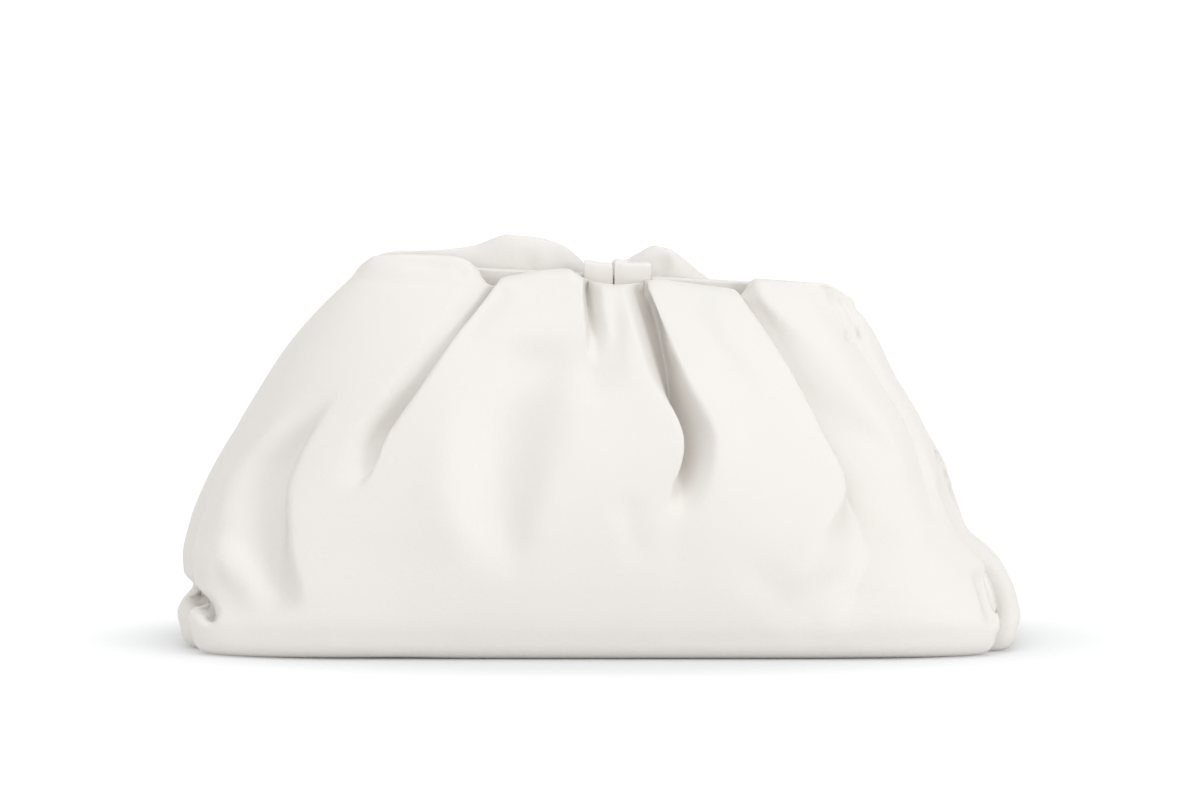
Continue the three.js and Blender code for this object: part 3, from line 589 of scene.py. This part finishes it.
def ring_mesh(name, rings, inner):
    """A closed mesh from the outer rings and, with half as many columns, the inner ones."""
    body = bmesh.new()
    outer_verts = [[body.verts.new(p) for p in ring] for ring in rings]
    inner_verts = [[body.verts.new(p) for p in ring] for ring in inner]
    for grid in (outer_verts, inner_verts[::-1]):
        for low, high in zip(grid, grid[1:]):
            count = len(low)
            for i in range(count):
                j = (i + 1) % count
                body.faces.new((low[i], low[j], high[j], high[i]))
    lip, turned = outer_verts[-1], inner_verts[-1]
    count = len(turned)
    for i in range(count):
        j = (i + 1) % count
        a, b, c = lip[2 * i], lip[2 * i + 1], lip[(2 * i + 2) % len(lip)]
        body.faces.new((a, b, turned[i]))
        body.faces.new((b, c, turned[j], turned[i]))
    body.faces.new(outer_verts[0][::-1])
    body.faces.new(inner_verts[0])
    mesh = bpy.data.meshes.new(name)
    body.to_mesh(mesh)
    body.free()
    mesh.shade_smooth()
    piece = bpy.data.objects.new(name, mesh)
    bpy.context.collection.objects.link(piece)
    return piece


# The inner skin has every other column, so their number is even.
if columns % 2:
    column_lobes, column_shares = column_lobes[:-1], column_shares[:-1]
    columns -= 1
outer = skin_rings()
outer = press_dents(outer, grid_normals(outer))
outer = press_creases(outer, grid_normals(outer)) + frame_middle
inside = outer - grid_normals(outer) * leather
inner = np.concatenate([inside[::2, ::2], inside[-1:, ::2]])  # every other ring, and the lip's own
inner[..., 2] = np.maximum(inner[..., 2], leather)
pouch = ring_mesh("pouch", outer, inner)
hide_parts("pouch_shell")
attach(pouch, "root")


def nappa(name, colour, roughness):
    """Smooth off-white nappa: fine pores, faint drawn lines and a soft satin sheen."""
    material = bpy.data.materials.new(name)
    material.use_nodes = True
    nodes, links = material.node_tree.nodes, material.node_tree.links
    shader = nodes["Principled BSDF"]
    place = nodes.new("ShaderNodeTexCoord")

    clouds = nodes.new("ShaderNodeTexNoise")
    clouds.inputs["Scale"].default_value = 14
    clouds.inputs["Detail"].default_value = 3
    links.new(place.outputs["Object"], clouds.inputs["Vector"])
    tone = nodes.new("ShaderNodeMixRGB")
    tone.inputs["Color1"].default_value = (*colour, 1)
    tone.inputs["Color2"].default_value = (colour[0] * 0.965, colour[1] * 0.96, colour[2] * 0.945, 1)
    links.new(clouds.outputs["Fac"], tone.inputs["Fac"])
    links.new(tone.outputs["Color"], shader.inputs["Base Color"])

    pores = nodes.new("ShaderNodeTexVoronoi")
    pores.inputs["Scale"].default_value = 1100
    links.new(place.outputs["Object"], pores.inputs["Vector"])
    grain = nodes.new("ShaderNodeTexNoise")
    grain.inputs["Scale"].default_value = 420
    grain.inputs["Detail"].default_value = 4
    links.new(place.outputs["Object"], grain.inputs["Vector"])
    waves = nodes.new("ShaderNodeTexNoise")
    waves.inputs["Scale"].default_value = 70
    waves.inputs["Detail"].default_value = 3
    links.new(place.outputs["Object"], waves.inputs["Vector"])

    fine = nodes.new("ShaderNodeBump")
    fine.inputs["Strength"].default_value = 0.12
    fine.inputs["Distance"].default_value = 0.0004
    links.new(pores.outputs["Distance"], fine.inputs["Height"])
    middle = nodes.new("ShaderNodeBump")
    middle.inputs["Strength"].default_value = 0.12
    middle.inputs["Distance"].default_value = 0.0005
    links.new(grain.outputs["Fac"], middle.inputs["Height"])
    links.new(fine.outputs["Normal"], middle.inputs["Normal"])
    broad = nodes.new("ShaderNodeBump")
    broad.inputs["Strength"].default_value = 0.15
    broad.inputs["Distance"].default_value = 0.0012
    links.new(waves.outputs["Fac"], broad.inputs["Height"])
    links.new(middle.outputs["Normal"], broad.inputs["Normal"])
    links.new(broad.outputs["Normal"], shader.inputs["Normal"])

    satin = nodes.new("ShaderNodeMapRange")
    satin.inputs["To Min"].default_value = roughness - 0.05
    satin.inputs["To Max"].default_value = roughness + 0.07
    links.new(waves.outputs["Fac"], satin.inputs["Value"])
    links.new(satin.outputs["Result"], shader.inputs["Roughness"])
    shader.inputs["Specular IOR Level"].default_value = 0.4
    return material


body_nappa = nappa("body_nappa", (0.765, 0.733, 0.698), 0.5)
pouch.data.materials.append(body_nappa)

# The frame: two straight steel bars under the same leather, closed against each other, with a leg
# down at each end. The leather is glued on, so it lies smoother than the pouch's.
frame_nappa = nappa("frame_nappa", (0.78, 0.745, 0.71), 0.45)
for name in ("front_frame_bar", "back_frame_bar"):
    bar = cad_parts[name]
    bar.data.materials.clear()
    bar.data.materials.append(frame_nappa)

# The two pleats in the middle: straps of the same leather, each wrapped from below up over the
# front bar and down into the mouth, with its edges turned under.
pleat_columns = 28
pleat_rows = 30
pleat_bend = 0.0026
pleat_gap = 0.00045
face_room = 0.0004  # left free in front of the strap's face
back_room = 0.0006  # left free behind the end that goes down into the mouth
belly_swell = 0.0005
wave_length = 7  # radians across a pleat
wave_height = 0.0003
corner_drop = 0.0007
pleat_shapes = {
    # flare is how far each side edge stands off at the foot, rise how far the top lifts to each
    # side edge, and wave where on its wave the strap starts.
    "centre_pleat_left": dict(flare=(0.0, 0.0011), rise=(0.0008, 0.0), wave=0.3),
    "centre_pleat_right": dict(flare=(0.0003, 0.0008), rise=(0.0022, 0.0012), wave=1.9),
}


def wrapped_pleat(name, low, high, flare, rise, wave):
    """A strap bent over the bar between two places, as a grid that is then thickened."""
    bpy.ops.object.select_all(action="DESELECT")
    bpy.ops.mesh.primitive_grid_add(x_subdivisions=pleat_columns, y_subdivisions=pleat_rows, size=2)
    strap = bpy.context.object
    strap.name = strap.data.name = name
    width, face = high.x - low.x, high.z - low.z - pleat_bend
    top = high.y - low.y - pleat_bend - back_room
    arc = pleat_bend * math.pi / 2
    for vert in strap.data.vertices:
        across, share = (vert.co.x + 1) / 2, (vert.co.y + 1) / 2
        run = share * (face + arc + top)
        turn = min(max((run - face) / pleat_bend, 0), math.pi / 2)
        y = low.y + face_room + pleat_bend * (1 - math.cos(turn)) + max(run - face - arc, 0)
        z = low.z + min(run, face) + pleat_bend * math.sin(turn)
        left_end, right_end = (1 - across)**4, across**4
        belly = math.sin(math.pi * min(run / face, 1)) * belly_swell * math.sin(math.pi * across)
        y -= (flare[0] * left_end + flare[1] * right_end) * (1 - share) + belly
        lift = math.sin(across * wave_length + wave) * wave_height
        lift -= abs(2 * across - 1)**6 * corner_drop
        z += (rise[0] * (1 - across)**2 + rise[1] * across**2 + lift) * min(1, run / face)**3
        x = low.x + pleat_gap + across * (width - 2 * pleat_gap)
        vert.co = (x, y, z - math.tan(frame_tilt) * (x - (low.x + high.x) / 2))
    thick = strap.modifiers.new("thick", "SOLIDIFY")
    thick.thickness, thick.offset = 0.0016, -1
    edge = strap.modifiers.new("edge", "BEVEL")
    edge.width, edge.segments, edge.limit_method = 0.0006, 3, "ANGLE"
    edge.angle_limit = math.radians(50)
    for modifier in ("thick", "edge"):
        bpy.ops.object.modifier_apply(modifier=modifier)
    bpy.ops.object.mode_set(mode="EDIT")
    bpy.ops.mesh.select_all(action="SELECT")
    bpy.ops.mesh.normals_make_consistent(inside=False)
    bpy.ops.object.mode_set(mode="OBJECT")
    strap.data.shade_smooth()
    strap.data.materials.clear()
    strap.data.materials.append(frame_nappa)
    return strap


for node, shape in pleat_shapes.items():
    strap = wrapped_pleat(node.replace("centre_", ""), *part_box(node), **shape)
    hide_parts(node)
    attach(strap, "root")

# The hinges: a plain steel plate at each end of the frame, beside the feet of the bars' legs,
# where the real frame turns. Both are hidden inside the pouch.
hinge_steel = bpy.data.materials.new("hinge_steel")
hinge_steel.use_nodes = True
steel_shader = hinge_steel.node_tree.nodes["Principled BSDF"]
steel_shader.inputs["Base Color"].default_value = (0.6, 0.6, 0.61, 1)
steel_shader.inputs["Metallic"].default_value = 1
steel_shader.inputs["Roughness"].default_value = 0.35
for name in ("left_hinge", "right_hinge"):
    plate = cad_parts[name]
    plate.data.materials.clear()
    plate.data.materials.append(hinge_steel)
